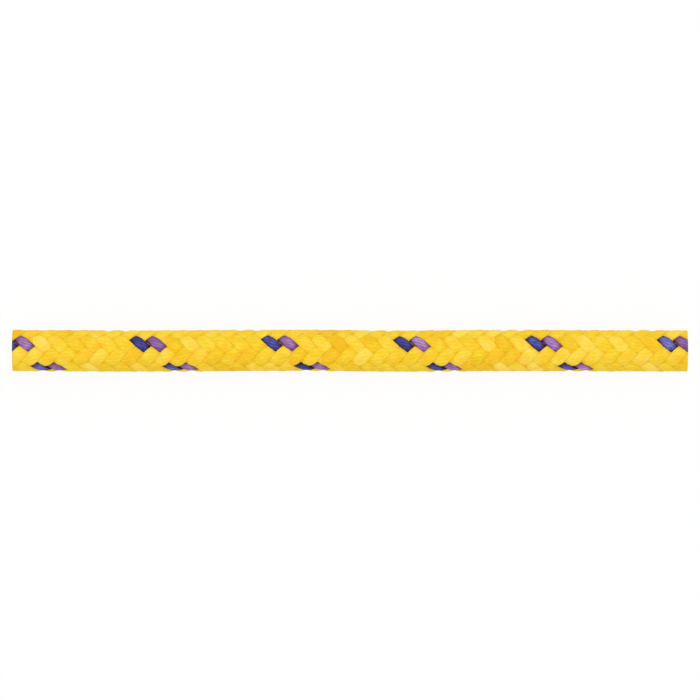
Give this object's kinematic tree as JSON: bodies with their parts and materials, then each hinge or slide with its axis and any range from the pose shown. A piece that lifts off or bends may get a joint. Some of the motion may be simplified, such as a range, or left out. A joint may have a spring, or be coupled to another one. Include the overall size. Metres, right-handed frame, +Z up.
{
  "type": "dynamic climbing rope",
  "caption": "Straight length of kernmantle climbing rope: yellow braided sheath with blue and purple tracers over a white core of twisted cords, cut square at both ends.",
  "frame": {"origin": "under the middle of the rope's length, on the plane that it lies on", "axes": "+X along the rope, +Y across it, +Z up"},
  "size_m": [0.164, 0.01, 0.0101],
  "materials": {
    "sheath_yellow": "braided polyamide filament yarn, golden yellow, soft sheen",
    "tracer_blue": "braided polyamide filament yarn, dark blue, soft sheen",
    "tracer_purple": "braided polyamide filament yarn, purple, soft sheen",
    "core_white": "twisted polyamide filament cords, undyed white, soft sheen",
    "tape": "thin blank plastic film"
  },
  "bodies": {
    "root": {"left_sheath_strand_1": "sheath_yellow", "left_sheath_strand_2": "sheath_yellow", "left_sheath_strand_3": "sheath_yellow", "left_sheath_strand_4": "sheath_yellow", "left_sheath_strand_5": "sheath_yellow", "left_sheath_strand_6": "sheath_yellow", "left_sheath_strand_7": "sheath_yellow", "left_sheath_strand_8": "sheath_yellow", "right_sheath_strand_1": "sheath_yellow", "right_sheath_strand_2": "sheath_yellow", "right_sheath_strand_3": "sheath_yellow", "right_sheath_strand_4": "sheath_yellow", "right_sheath_strand_7": "sheath_yellow", "right_sheath_strand_8": "sheath_yellow", "blue_tracer_strand": "tracer_blue", "purple_tracer_strand": "tracer_purple", "inner_core_cord_1": "core_white", "inner_core_cord_2": "core_white", "inner_core_cord_3": "core_white", "outer_core_cord_1": "core_white", "outer_core_cord_2": "core_white", "outer_core_cord_3": "core_white", "outer_core_cord_4": "core_white", "outer_core_cord_5": "core_white", "outer_core_cord_6": "core_white", "outer_core_cord_7": "core_white", "outer_core_cord_8": "core_white", "outer_core_cord_9": "core_white", "marking_tape": "tape"}
  },
  "joints": []
}
